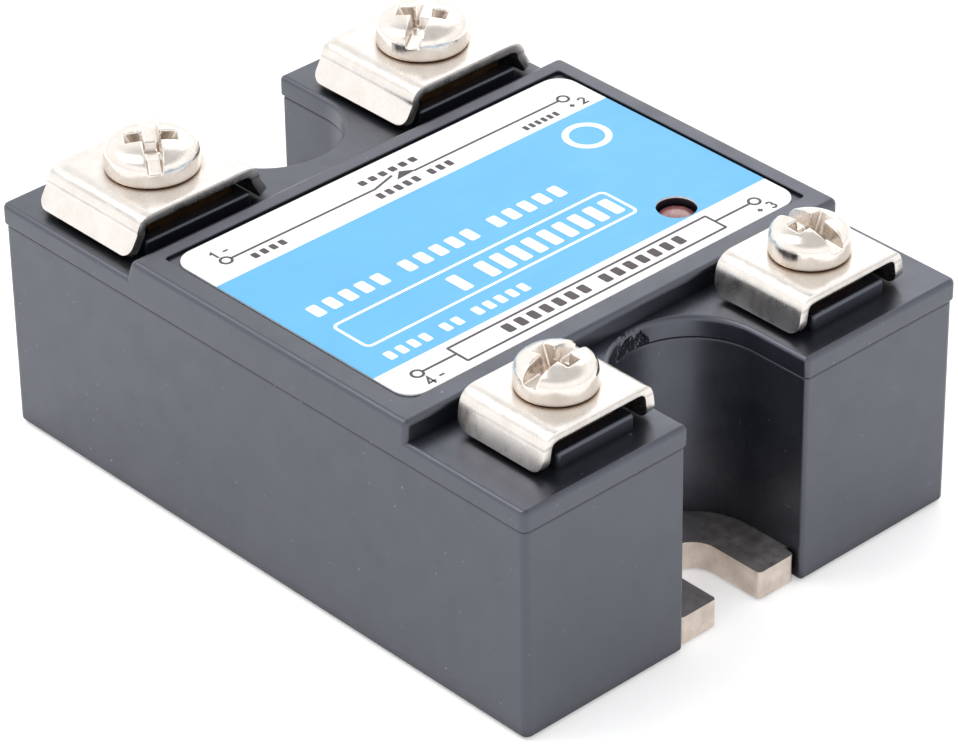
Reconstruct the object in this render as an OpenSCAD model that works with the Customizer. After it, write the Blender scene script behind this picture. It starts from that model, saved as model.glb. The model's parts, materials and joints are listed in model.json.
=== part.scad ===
// Solid state relay of the panel "puck" form: a metal base plate, a plastic
// housing and lid, four saddle-clamp screw terminals and the potted circuit inside.
// Origin: centre of the underside. +X towards the control end, +Z up.

/* [Case] */
// Length of the housing, along X
case_l = 58; // [56:0.5:60]
// Width of the housing, along Y
case_w = 44; // [43:0.5:46]
// Height of the joint between housing and lid
seam_z = 18; // [17:0.5:20]
// Thickness of the lid at the terminal decks
deck_t = 1.8; // [1.6:0.1:2.2]
// Height of the middle platform above the decks
platform_rise = 1.7; // [1.2:0.1:2.2]
// Where the platform ends towards the control terminals
platform_front_x = 17; // [16.5:0.1:17.4]
// Where the foot of the platform's output wall stands
platform_back_x = -14.2; // [-14.6:0.1:-14]
// How far the lid stands past the housing
lid_lip = 0.15; // [0.1:0.05:0.3]

/* [Mounting] */
// Distance between the fixing hole and the fixing slot
fixing_spacing = 47.6; // [46:0.1:49]
// Radius of the end notches that clear the fixing screws
notch_r = 6.2; // [5.5:0.1:6.5]
// Thickness of the metal base plate
plate_t = 2.4; // [2:0.1:3]
// Radius of the fixing hole, and of the slot's end
fixing_r = 2.25; // [2.2:0.05:2.6]

/* [Output terminals] */
// Distance of the output screws from the middle, along X
output_x = 20.6; // [20.4:0.1:20.8]
// Distance of the output screws from the middle, along Y
output_y = 13.9; // [13.8:0.1:14.1]
// Length of an output clamp along X
output_clamp_l = 10.8; // [10:0.1:11]
// Half-width of an output clamp's flat top
output_flat_half = 4.6; // [4.5:0.1:4.7]
// Radius of an output screw's shank
output_shank_r = 1.95; // [1.9:0.01:1.96]
// Radius of an output screw's head
output_head_r = 3.7; // [3.5:0.1:3.8]

/* [Control terminals] */
// Distance of the control screws from the middle, along X
control_x = 22.7; // [22.6:0.1:22.8]
// Distance of the control screws from the middle, along Y
control_y = 12.9; // [12.8:0.1:13]
// Length of a control clamp along X
control_clamp_l = 8.7; // [8.5:0.1:9.1]
// Half-width of a control clamp's flat top
control_flat_half = 3.9; // [3.8:0.1:4]
// Radius of a control screw's shank
control_shank_r = 1.7; // [1.65:0.01:1.71]
// Radius of a control screw's head
control_head_r = 3.1; // [3:0.1:3.3]

/* [Terminal stack] */
// Height of the pedestals' tops
pedestal_z = 21.1; // [20.9:0.1:21.2]
// Thickness of the terminal plates
terminal_t = 0.8; // [0.6:0.1:0.9]
// Height of the clamps' tops when tightened
clamp_z = 23.3; // [23.2:0.1:23.6]
// Thickness of the clamps' sheet
clamp_t = 0.8; // [0.7:0.05:0.9]
// Length of the screws under the head
screw_l = 8; // [7.5:0.1:8.4]
// Height of the screw heads
head_h = 2.7; // [2.4:0.1:2.9]

/* [Indicator] */
// Place of the indicator along X
led_x = 9.2; // [8:0.1:10]
// Place of the indicator along Y
led_y = 12.6; // [11:0.1:14]

/* [Hidden] */
$fn = 48;

// Small play between parts that drop into one another
play = 0.1;
// How far a cutter runs past the face it opens
over = 1;

deck_z = seam_z + deck_t;
platform_z = deck_z + platform_rise;
fixing_x = fixing_spacing / 2;
notch_x = case_l / 2 - 5.4;

// Case walls
side_wall = 1.8;
end_wall = 2.4;
notch_wall = 1.6;
cavity_x = case_l / 2 - end_wall;
cavity_y = case_w / 2 - side_wall;
plate_x = case_l / 2 - 1.5;
plate_y = case_w / 2 - 1.3;
ear_x = case_l / 2 - 0.5;
ear_half = notch_r - 0.25;

// Lid
lid_x = case_l / 2 + lid_lip;
lid_y = case_w / 2 + lid_lip;
lid_notch_r = notch_r - 0.15;
lid_top_t = 1.5;
lid_edge = 0.6;
lip_t = 1;
lip_depth = 1.6;
lip_half = 17;

// Label and its recess
recess_x = [-12, 14.95];
recess_y = [-20.05, 20.6];
recess_depth = 0.3;
label_x = [-11.7, 14.75];
label_y = [-19.7, 20.4];
label_r = 1.8;
label_t = 0.15;
label_z = platform_z - recess_depth;

// Indicator
led_r = 1.5;
led_hole_r = 1.6;
led_flange_r = 1.95;
led_flange_t = 0.8;
led_top_z = platform_z - 0.6;
led_lead_r = 0.25;
led_lead_half = 1.27;

// Terminal towers that hang from the lid: [towards the middle, towards the end]
tower_floor_z = 14.2;
output_tower_x = [-26, -15.2];
control_tower_x = [18.7, 26.8];
output_tower_half = 5.2;
control_tower_half = 3.8;
screw_well_z = 15;

// Terminal strips: where each one's leg comes down
output_leg_x = [-17.05, -16.25];
output_leg_half = 3;
control_leg_x = [18.95, 19.45];
control_leg_half = 1.8;
output_strip_x = [-25.4, -16.25];
control_strip_x = [18.95, 25.4];
output_strip_half = 4.2;
control_strip_half = 3.1;

// Nuts
output_nut_w = 7;
output_nut_t = 3.2;
control_nut_w = 5.8;
control_nut_t = 2.8;
shank_play = 0.05;
hole_play = 0.25;

// Clamps: the flanges swing out past the flat top and come down to just over the deck
output_flange_out = 2.55;
control_flange_out = 1.75;
flange_gap = 0.1;
flange_corner = 1.1;

// Circuit
substrate_t = 0.7;
copper_t = 0.3;
die_t = 0.4;
substrate_z = plate_t;
copper_z = substrate_z + substrate_t;
die_z = copper_z + copper_t;
substrate_x = [-15, 13];
substrate_half = 18;
pad_gap = 1;
pad_end_y = 17.2;
die_w = 5;
die_x = [-9.9, -3.7, 2.5, 8.7];
die_y = 4.2;
wire_r = 0.2;
wire_bow_r = 2.2;
pad_edge_x = 0.8;
return_pad_y = -12;
return_land_x = -8.5;
gate_pad_half = 1;
resin_z = 9;
foot_t = 0.8;
board_x = [-4, 15.2];
board_half = 17;
board_z = 10;
board_t = 1.6;
board_top = board_z + board_t;
pin_r = 0.4;
pin_places = [[-2, -15], [1, -15], [4, -15]];

// A block between two corners
module block(low, high) {
    translate(low)
        cube(high - low);
}

// The plan of one end notch, opening past the end of the case
module notch_plan(radius, side) {
    translate([side * notch_x, 0])
        circle(r = radius);
    translate([side * (notch_x + case_l / 2), 0])
        square([case_l, 2 * radius], center = true);
}

// The plan of the case with both notches, at a given half-length and half-width
module case_plan(half_x, half_y, radius) {
    difference() {
        square([2 * half_x, 2 * half_y], center = true);
        for (side = [-1, 1])
            notch_plan(radius, side);
    }
}

// A rectangle with round corners, built from squares and circles
module round_plan(x, y, radius) {
    difference() {
        translate([x[0], y[0]])
            square([x[1] - x[0], y[1] - y[0]]);
        for (cx = x, cy = y)
            translate([cx, cy])
                square(2 * radius, center = true);
    }
    for (cx = [x[0] + radius, x[1] - radius], cy = [y[0] + radius, y[1] - radius])
        translate([cx, cy])
            circle(r = radius);
}

// Anything built for the +Y or -Y side of the case
module at_side(x, y, side) {
    translate([x, side * y, 0])
        children();
}

module base_plate() {
    color("lightslategray")
        difference() {
            union() {
                block([-plate_x, -plate_y, 0], [plate_x, plate_y, plate_t]);
                block([-ear_x, -ear_half, 0], [ear_x, ear_half, plate_t]);
            }
            translate([-fixing_x, 0, -over])
                cylinder(h = plate_t + 2 * over, r = fixing_r);
            translate([fixing_x, 0, -over])
                cylinder(h = plate_t + 2 * over, r = fixing_r);
            block([fixing_x, -fixing_r, -over], [case_l, fixing_r, plate_t + over]);
        }
}

module housing() {
    color("#33363d")
        difference() {
            linear_extrude(seam_z)
                case_plan(case_l / 2, case_w / 2, notch_r);
            translate([0, 0, -over])
                linear_extrude(seam_z + 2 * over)
                    case_plan(cavity_x, cavity_y, notch_r + notch_wall);
            block(
                [-plate_x - play, -plate_y - play, -over],
                [plate_x + play, plate_y + play, plate_t]
            );
        }
}

// One terminal tower of the lid, closed underneath and solid until it is bored
module tower(x, y, half, side) {
    block([x[0], side * y - half, deck_z - lid_edge], [x[1], side * y + half, pedestal_z]);
    block(
        [x[0], side * y - half, tower_floor_z],
        [min(x[1], cavity_x - play), side * y + half, deck_z]
    );
}

// The nut pocket, the well for the screw's tip and the slot for the strip's leg
module tower_cut(screw_x, y, nut_w, nut_t, well_r, leg_x, leg_half, side) {
    nut_half = nut_w / 2 + play / 2;
    cy = side * y;
    block(
        [screw_x - nut_half, cy - nut_half, pedestal_z - nut_t],
        [screw_x + nut_half, cy + nut_half, pedestal_z + over]
    );
    translate([screw_x, cy, screw_well_z])
        cylinder(h = pedestal_z - screw_well_z, r = well_r);
    block(
        [leg_x[0], cy - leg_half, tower_floor_z - over],
        [leg_x[1], cy + leg_half, pedestal_z + over]
    );
}

module top_cover() {
    platform_top_back = platform_back_x + 0.7;
    color("#2e3138")
        difference() {
            union() {
                difference() {
                    union() {
                        translate([0, 0, seam_z])
                            linear_extrude(deck_t)
                                case_plan(lid_x, lid_y, lid_notch_r);
                        rotate([90, 0, 0])
                            linear_extrude(2 * lid_y, center = true)
                                polygon([
                                    [platform_back_x, deck_z - lid_edge],
                                    [platform_front_x, deck_z - lid_edge],
                                    [platform_front_x, platform_z],
                                    [platform_top_back, platform_z],
                                    [platform_back_x, deck_z]
                                ]);
                    }
                    translate([0, 0, seam_z - over])
                        linear_extrude(over + deck_t - lid_top_t)
                            case_plan(cavity_x, cavity_y, notch_r + notch_wall);
                    block(
                        [platform_top_back + lid_top_t, -cavity_y, seam_z - over],
                        [platform_front_x - lid_top_t, cavity_y, platform_z - lid_top_t]
                    );
                }
                for (side = [-1, 1]) {
                    tower(output_tower_x, output_y, output_tower_half, side);
                    tower(control_tower_x, control_y, control_tower_half, side);
                    block(
                        [-lip_half, side * (cavity_y - play - lip_t / 2) - lip_t / 2, seam_z - lip_depth],
                        [lip_half - 2, side * (cavity_y - play - lip_t / 2) + lip_t / 2, seam_z + 0.4]
                    );
                }
            }
            for (side = [-1, 1]) {
                tower_cut(
                    -output_x, output_y, output_nut_w, output_nut_t,
                    output_shank_r + 0.4, output_leg_x, output_leg_half, side
                );
                tower_cut(
                    control_x, control_y, control_nut_w, control_nut_t,
                    control_shank_r + 0.4, control_leg_x, control_leg_half, side
                );
            }
            block(
                [recess_x[0], recess_y[0], label_z],
                [recess_x[1], recess_y[1], platform_z + over]
            );
            translate([led_x, led_y, seam_z])
                cylinder(h = platform_z, r = led_hole_r);
        }
}

module label_sheet() {
    color("#6fc5f5")
        difference() {
            translate([0, 0, label_z])
                linear_extrude(label_t)
                    round_plan(label_x, label_y, label_r);
            translate([led_x, led_y, label_z - over])
                cylinder(h = label_t + 2 * over, r = led_hole_r + 0.05);
        }
}

module indicator_led() {
    flange_z = platform_z - lid_top_t - led_flange_t;
    color("#5a1f24")
        translate([led_x, led_y, 0])
            rotate_extrude()
                polygon(concat(
                    [[0, flange_z - 1.5], [led_r, flange_z - 1.5], [led_r, flange_z]],
                    [[led_flange_r, flange_z], [led_flange_r, flange_z + led_flange_t - 0.02]],
                    [[led_r, flange_z + led_flange_t - 0.02]],
                    [for (a = [0 : 10 : 90]) [led_r * cos(a), led_top_z - led_r + led_r * sin(a)]]
                ));
}

module led_leads() {
    top = platform_z - lid_top_t - led_flange_t - 1.5;
    color("silver")
        for (side = [-1, 1])
            translate([led_x + side * led_lead_half, led_y, board_top])
                cylinder(h = top - board_top, r = led_lead_r);
}

module ceramic_substrate() {
    color("ivory")
        block([substrate_x[0], -substrate_half, substrate_z], [substrate_x[1], substrate_half, copper_z]);
}

// The switched pad at +Y, the return pad at -Y with its landing, and three gate pads
module substrate_copper() {
    low_x = substrate_x[0] + pad_edge_x;
    high_x = substrate_x[1] - pad_edge_x;
    color("peru") {
        block([low_x, pad_gap / 2, copper_z], [high_x, pad_end_y, die_z]);
        block([low_x, return_pad_y, copper_z], [high_x, -pad_gap / 2, die_z]);
        block([low_x, -pad_end_y, copper_z], [return_land_x, return_pad_y, die_z]);
        for (p = pin_places)
            block(
                [p[0] - gate_pad_half, p[1] - gate_pad_half, copper_z],
                [p[0] + gate_pad_half, p[1] + gate_pad_half, die_z]
            );
    }
}

module power_dies() {
    color("dimgray")
        for (x = die_x)
            translate([x - die_w / 2, die_y - die_w / 2, die_z])
                cube([die_w, die_w, die_t]);
}

// Bowed wires from each die down to the return pad
module bond_wires() {
    land_y = die_y - die_w / 2 + 0.8 - wire_bow_r;
    color("gainsboro")
        for (x = die_x, step = [-1.5, 0, 1.5])
            translate([x + step, land_y, die_z + die_t])
                rotate([90, 0, 90]) {
                    rotate_extrude(angle = 180, $fn = 24)
                        translate([wire_bow_r, 0])
                            circle(r = wire_r);
                    translate([-wire_bow_r, 0, 0])
                        rotate([90, 0, 0])
                            cylinder(h = die_t, r = wire_r, $fn = 24);
                }
}

// A bent strip: flat top on the pedestal, a leg down through the tower and a foot
module terminal_strip(
    screw_x, y, strip_x, strip_half, leg_x, leg_half, leg_foot, foot_x, foot_h, hole_r, side
) {
    cy = side * y;
    difference() {
        union() {
            block(
                [strip_x[0], cy - strip_half, pedestal_z],
                [strip_x[1], cy + strip_half, pedestal_z + terminal_t]
            );
            block(
                [leg_x[0], cy - leg_half, leg_foot],
                [leg_x[1], cy + leg_half, pedestal_z + terminal_t]
            );
            block(
                [foot_x[0], cy - leg_half, leg_foot],
                [foot_x[1], cy + leg_half, leg_foot + foot_h]
            );
        }
        translate([screw_x, cy, pedestal_z - over])
            cylinder(h = terminal_t + 2 * over, r = hole_r);
    }
}

module output_busbar(side) {
    color("#b5813f")
        terminal_strip(
            -output_x, output_y, output_strip_x, output_strip_half, output_leg_x, output_leg_half,
            die_z, [output_leg_x[0], -9.5], foot_t, output_shank_r + hole_play, side
        );
}

module control_terminal(side) {
    color("#b5813f")
        terminal_strip(
            control_x, control_y, control_strip_x, control_strip_half, control_leg_x, control_leg_half,
            board_top, [12.6, control_leg_x[1]], 0.5, control_shank_r + hole_play, side
        );
}

module square_nut(width, height, bore_r) {
    difference() {
        translate([0, 0, pedestal_z - height / 2])
            cube([width, width, height], center = true);
        translate([0, 0, pedestal_z - height - over])
            cylinder(h = height + 2 * over, r = bore_r);
    }
}

module output_nut(side) {
    color("silver")
        at_side(-output_x, output_y, side)
            square_nut(output_nut_w, output_nut_t, output_shank_r + shank_play);
}

module control_nut(side) {
    color("silver")
        at_side(control_x, control_y, side)
            square_nut(control_nut_w, control_nut_t, control_shank_r + shank_play);
}

// Half of a clamp's centre line, seen along X: a round shoulder, then a flange down to the deck.
// Each point of the shoulder is how far past the flat top it lies, and how far below it.
clamp_shoulder = [[0, 0], [0.45, 0.09], [0.85, 0.35], [1.08, 0.8]];
function clamp_half_line(flat_half, flange_out) =
    concat(
        [for (p = clamp_shoulder) [flat_half + p[0], clamp_z - clamp_t / 2 - p[1]]],
        [[flat_half + flange_out - clamp_t / 2, deck_z + flange_gap + clamp_t / 4]]
    );

// The same line on both sides, from the -Y flange to the +Y flange
function clamp_line(flat_half, flange_out) =
    let (half = clamp_half_line(flat_half, flange_out))
    concat([for (i = [len(half) - 1 : -1 : 0]) [-half[i][0], half[i][1]]], half);

// Points to one side of a line of points, at half the sheet's thickness
function line_normal(p, i) =
    let (a = p[max(i - 1, 0)], b = p[min(i + 1, len(p) - 1)], d = b - a)
    [-d[1], d[0]] / norm(d);
function offset_line(p, distance) = [for (i = [0 : len(p) - 1]) p[i] + distance * line_normal(p, i)];
function reversed(p) = [for (i = [len(p) - 1 : -1 : 0]) p[i]];

module clamp(length, flat_half, flange_out, hole_r) {
    outer = flat_half + flange_out;
    line = clamp_line(flat_half, flange_out);
    // One flange corner seen from the side, rounded from the lower edge up to the end
    corner = [
        for (a = [0 : 15 : 90])
            [length / 2 - flange_corner * (1 - sin(a)), deck_z + flange_corner * (1 - cos(a))]
    ];
    side_view = concat(
        corner, [[length / 2, clamp_z + over], [-length / 2, clamp_z + over]],
        reversed([for (p = corner) [-p[0], p[1]]])
    );
    difference() {
        intersection() {
            rotate([90, 0, 90])
                linear_extrude(length, center = true)
                    polygon(concat(
                        offset_line(line, clamp_t / 2),
                        reversed(offset_line(line, -clamp_t / 2))
                    ));
            rotate([90, 0, 0])
                linear_extrude(2 * (outer + over), center = true)
                    polygon(side_view);
        }
        cylinder(h = clamp_z + over, r = hole_r);
    }
}

module output_clamp(side) {
    color("gainsboro")
        at_side(-output_x, output_y, side)
            clamp(output_clamp_l, output_flat_half, output_flange_out, output_shank_r + hole_play);
}

module control_clamp(side) {
    color("gainsboro")
        at_side(control_x, control_y, side)
            clamp(control_clamp_l, control_flat_half, control_flange_out, control_shank_r + hole_play);
}

// A pan-head screw with a cross recess and a wider driver slot, turned to its own angle
module pan_screw(head_r, shank_r, turn) {
    rim_h = 1.2;
    slot_w = 1.5;
    cross_w = 1.3;
    cross_depth = 1.95;
    cross_reach = 0.62 * head_r;
    slot_depth = 1.4;
    // Below 1, the dome's shoulder is fuller than a circle's
    fullness = 0.77;
    crown_z = clamp_z + head_h;
    dome = [
        for (a = [0 : 15 : 90])
            [head_r * pow(cos(a), fullness), clamp_z + rim_h + (head_h - rim_h) * pow(sin(a), fullness)]
    ];
    rotate([0, 0, turn])
        difference() {
            rotate_extrude()
                polygon(concat(
                    [[0, clamp_z - screw_l], [shank_r - 0.4, clamp_z - screw_l]],
                    [[shank_r, clamp_z - screw_l + 0.4], [shank_r, clamp_z]],
                    [[head_r - 0.15, clamp_z], [head_r, clamp_z + 0.15]],
                    dome
                ));
            block(
                [-head_r - over, -slot_w / 2, crown_z - slot_depth],
                [head_r + over, slot_w / 2, crown_z + over]
            );
            for (arm = [0, 90])
                rotate([0, 0, arm])
                    block(
                        [-cross_w / 2, -cross_reach, crown_z - cross_depth],
                        [cross_w / 2, cross_reach, crown_z + over]
                    );
        }
}

module output_screw(side, turn) {
    color("gainsboro")
        at_side(-output_x, output_y, side)
            pan_screw(output_head_r, output_shank_r, turn);
}

module control_screw(side, turn) {
    color("gainsboro")
        at_side(control_x, control_y, side)
            pan_screw(control_head_r, control_shank_r, turn);
}

module control_board() {
    color("seagreen")
        difference() {
            block([board_x[0], -board_half, board_z], [board_x[1], board_half, board_top]);
            for (p = pin_places)
                translate([p[0], p[1], board_z - over])
                    cylinder(h = board_t + 2 * over, r = pin_r);
        }
}

// A six-legged chip package on the board
module optocoupler() {
    color("#25272b") {
        block([1.5, -4.2, board_top + 0.4], [8, 4.2, board_top + 3.9]);
        for (x = [0.9, 8], y = [-2.54, 0, 2.54])
            block([x, y - 0.3, board_top], [x + 0.6, y + 0.3, board_top + 2]);
    }
}

module board_resistors() {
    color("#1d1d20")
        for (y = [-12, -9.6, -7.2, 7, 15.5])
            block([0, y - 0.8, board_top], [3.2, y + 0.8, board_top + 0.6]);
}

module board_capacitor() {
    color("#c9a36a")
        block([6, -15, board_top], [9.2, -12.5, board_top + 1.8]);
}

module driver_transistor() {
    color("#25272b") {
        block([6.2, -9.6, board_top + 0.15], [7.5, -6.7, board_top + 1.1]);
        for (p = [[5.6, -9.1], [5.6, -7.2], [7.5, -8.15]])
            block([p[0], p[1] - 0.2, board_top], [p[0] + 0.6, p[1] + 0.2, board_top + 0.4]);
    }
}

// Pins that carry the gate drive from the board down to the substrate
module gate_pins() {
    color("silver")
        for (p = pin_places)
            translate([p[0], p[1], die_z])
                cylinder(h = board_top + 0.6 - die_z, r = pin_r);
}

// Soft resin that fills the bottom of the case over the dies and the wires
module potting_resin() {
    gel_z = die_z + 3.4;
    color("#101114")
        difference() {
            translate([0, 0, plate_t])
                linear_extrude(resin_z - plate_t)
                    case_plan(cavity_x, cavity_y, notch_r + notch_wall);
            block(
                [substrate_x[0], -substrate_half, plate_t - over],
                [substrate_x[1], substrate_half, gel_z]
            );
            for (side = [-1, 1]) {
                block(
                    [output_leg_x[0], side * output_y - output_leg_half, die_z],
                    [output_leg_x[1], side * output_y + output_leg_half, resin_z + over]
                );
                block(
                    [output_leg_x[0], side * output_y - output_leg_half, die_z],
                    [substrate_x[0] + over, side * output_y + output_leg_half, die_z + foot_t]
                );
            }
            for (p = pin_places)
                translate([p[0], p[1], plate_t])
                    cylinder(h = resin_z, r = pin_r);
        }
}

base_plate();
housing();
top_cover();
label_sheet();
indicator_led();
led_leads();
potting_resin();
ceramic_substrate();
substrate_copper();
power_dies();
bond_wires();
output_busbar(-1);  // output_busbar_1
output_busbar(1);  // output_busbar_2
control_terminal(1);  // control_terminal_3
control_terminal(-1);  // control_terminal_4
output_nut(-1);  // output_nut_1
output_nut(1);  // output_nut_2
control_nut(1);  // control_nut_3
control_nut(-1);  // control_nut_4
output_clamp(-1);  // output_clamp_1
output_clamp(1);  // output_clamp_2
control_clamp(1);  // control_clamp_3
control_clamp(-1);  // control_clamp_4
output_screw(-1, 145);  // output_screw_1
output_screw(1, 126);  // output_screw_2
control_screw(1, -4);  // control_screw_3
control_screw(-1, 97);  // control_screw_4
control_board();
optocoupler();
board_resistors();
board_capacitor();
driver_transistor();
gate_pins();
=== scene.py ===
"""The looks of a solid state relay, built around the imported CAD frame."""

import json
import math

import bmesh
import bpy
from mathutils import Matrix, Vector


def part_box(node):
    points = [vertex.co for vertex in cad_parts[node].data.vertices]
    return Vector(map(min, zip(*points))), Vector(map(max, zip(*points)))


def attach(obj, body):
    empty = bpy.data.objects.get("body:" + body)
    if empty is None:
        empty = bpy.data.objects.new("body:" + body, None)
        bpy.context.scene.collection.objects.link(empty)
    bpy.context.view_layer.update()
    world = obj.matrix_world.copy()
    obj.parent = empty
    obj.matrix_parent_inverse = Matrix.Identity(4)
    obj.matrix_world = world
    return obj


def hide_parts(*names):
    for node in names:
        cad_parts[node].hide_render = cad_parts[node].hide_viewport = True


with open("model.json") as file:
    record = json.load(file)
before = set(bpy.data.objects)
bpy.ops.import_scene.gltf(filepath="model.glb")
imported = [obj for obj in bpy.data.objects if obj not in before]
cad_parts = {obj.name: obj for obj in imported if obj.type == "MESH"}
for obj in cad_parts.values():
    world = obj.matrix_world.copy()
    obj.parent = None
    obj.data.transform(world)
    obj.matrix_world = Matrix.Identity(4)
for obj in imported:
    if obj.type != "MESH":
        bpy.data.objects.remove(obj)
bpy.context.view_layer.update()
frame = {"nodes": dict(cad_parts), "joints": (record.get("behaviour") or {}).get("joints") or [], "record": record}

MM = 0.001


# ---------------------------------------------------------------- sizes, in millimetres


def box_mm(node):
    """Lowest and highest corner of a CAD node, in millimetres."""
    low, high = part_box(node)
    return low / MM, high / MM


case_high = box_mm("housing")[1]
lid_high = box_mm("top_cover")[1]
plate_high = box_mm("base_plate")[1]
label_low, label_high = box_mm("label_sheet")
led_low, led_high = box_mm("indicator_led")
pivot_mm = {j["name"]: Vector(j["pos_m"]) / MM for j in frame["joints"] if "pos_m" in j}

CASE_X, CASE_Y, SEAM_Z = case_high
LID_X, LID_Y = lid_high.xy
DECK_T = 1.8
DECK_Z = SEAM_Z + DECK_T
# the platform's height, and the sunk bed of the label in it
RECESS_DEPTH = 0.3
PLATFORM_Z = label_low.z + RECESS_DEPTH
PLATFORM_FOOT_X, PLATFORM_BACK_X, PLATFORM_FRONT_X = -14.2, -13.5, 17.0
RECESS_X, RECESS_Y, RECESS_R = (-12.0, 14.95), (-20.05, 20.6), 0.35
# the U notches in both ends
NOTCH_X = CASE_X - 5.4
NOTCH_R = 6.2
LID_NOTCH_R = 6.05
# the inside, one wall in from the outside
END_WALL, SIDE_WALL, NOTCH_WALL = 2.4, 1.8, 1.6
CAVITY_X, CAVITY_Y = CASE_X - END_WALL, CASE_Y - SIDE_WALL
CAVITY_NOTCH_R = NOTCH_R + NOTCH_WALL
# the base plate
PLATE_T = plate_high.z
PLATE_X, PLATE_Y = CASE_X - 1.5, CASE_Y - 1.3
EAR_X, EAR_HALF = plate_high.x, NOTCH_R - 0.25
FIXING_X, FIXING_R = 23.8, 2.25
LED_HOLE_R = 1.6
# how far a cutting tool runs past what it cuts
CUTTER_RUN = 1.0


class Terminal:
    """One terminal's place and sizes."""

    def __init__(self, number, output):
        self.number = number
        kind = "output" if output else "control"
        self.clamp_node = f"{kind}_clamp_{number}"
        self.screw_node = f"{kind}_screw_{number}"
        self.strip_node = f"output_busbar_{number}" if output else f"control_terminal_{number}"
        pivot = pivot_mm[f"screw_turn_{number}"]
        self.x, self.y = pivot.xy
        low, high = box_mm(self.clamp_node)
        self.clamp_z = high.z
        self.clamp_length = high.x - low.x
        self.flat_half = 4.6 if output else 3.9
        self.flange_corner = 0.95 if output else 1.15
        self.flange_out = (high.y - low.y) / 2 - self.flat_half
        self.head_r = 3.7 if output else 3.1
        self.shank_r = 1.95 if output else 1.7
        self.pitch = 0.7 if output else 0.6
        self.tower_x = (-26.0, -15.2) if output else (18.7, 26.8)
        self.tower_half = 5.2 if output else 3.8
        self.nut_w = 7.0 if output else 5.8
        self.nut_t = 3.2 if output else 2.8
        self.leg_x = (-17.05, -16.25) if output else (18.95, 19.45)
        self.leg_half = 3.0 if output else 1.8
        self.turn = math.radians({1: 145, 2: 126, 3: -4, 4: 97}[number])


TERMINALS = [Terminal(1, True), Terminal(2, True), Terminal(3, False), Terminal(4, False)]
STRIP_T = 0.8
PEDESTAL_Z = box_mm("output_busbar_1")[1].z - STRIP_T


# ---------------------------------------------------------------- node materials


def linear(hex_colour):
    """A linear RGBA colour from an sRGB hex string."""
    parts = [int(hex_colour[i : i + 2], 16) / 255 for i in (1, 3, 5)]
    return [p / 12.92 if p <= 0.04045 else ((p + 0.055) / 1.055) ** 2.4 for p in parts] + [1.0]


class Finish:
    """A node material around one Principled shader, in object coordinates."""

    def __init__(self, name, **sockets):
        self.material = bpy.data.materials.new(name)
        self.material.use_nodes = True
        self.tree = self.material.node_tree
        self.shader = self.tree.nodes["Principled BSDF"]
        for socket, value in sockets.items():
            self.shader.inputs[socket.replace("_", " ")].default_value = value
        self.where = self.tree.nodes.new("ShaderNodeTexCoord").outputs["Object"]

    def add(self, kind, sources=None, **settings):
        """A node whose inputs take values or other nodes' outputs."""
        node = self.tree.nodes.new(kind)
        for key, value in settings.items():
            setattr(node, key, value)
        for key, value in (sources or {}).items():
            if isinstance(value, bpy.types.NodeSocket):
                self.tree.links.new(value, node.inputs[key])
            else:
                node.inputs[key].default_value = value
        return node

    def noise(self, size_mm, detail=3.0, rough=0.55, stretch=(1, 1, 1)):
        """Noise whose features are about size_mm across."""
        place = self.add("ShaderNodeMapping", {"Vector": self.where, "Scale": stretch})
        made = self.add(
            "ShaderNodeTexNoise",
            {
                "Vector": place.outputs[0],
                "Scale": 1 / (size_mm * MM),
                "Detail": detail,
                "Roughness": rough,
            },
        )
        return made.outputs["Fac"]

    def spread(self, source, low, high, to_low=0.0, to_high=1.0):
        """The source between low and high, spread over a new range and clamped."""
        made = self.add(
            "ShaderNodeMapRange",
            {0: source, 1: low, 2: high, 3: to_low, 4: to_high},
        )
        return made.outputs[0]

    def math(self, operation, a, b):
        return self.add("ShaderNodeMath", {0: a, 1: b}, operation=operation).outputs[0]

    def mix(self, share, a, b):
        """Colour a where share is 0, and b where it is 1."""
        made = self.add("ShaderNodeMix", {0: share, 6: a, 7: b}, data_type="RGBA")
        return made.outputs[2]

    def crevice(self, reach_mm, inside=False):
        """1 in the open and 0 deep in a corner; inside, 0 near a convex edge."""
        made = self.add("ShaderNodeAmbientOcclusion", {"Distance": reach_mm * MM}, inside=inside)
        made.samples = 8
        return made.outputs["AO"]

    def bump(self, height, depth_mm, strength=1.0, under=None):
        sources = {"Height": height, "Distance": depth_mm * MM, "Strength": strength}
        if under is not None:
            sources["Normal"] = under
        return self.add("ShaderNodeBump", sources).outputs[0]

    def wire(self, **sources):
        """Link sources to the shader's sockets."""
        for socket, source in sources.items():
            self.tree.links.new(source, self.shader.inputs[socket.replace("_", " ")])
        return self.material


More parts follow.
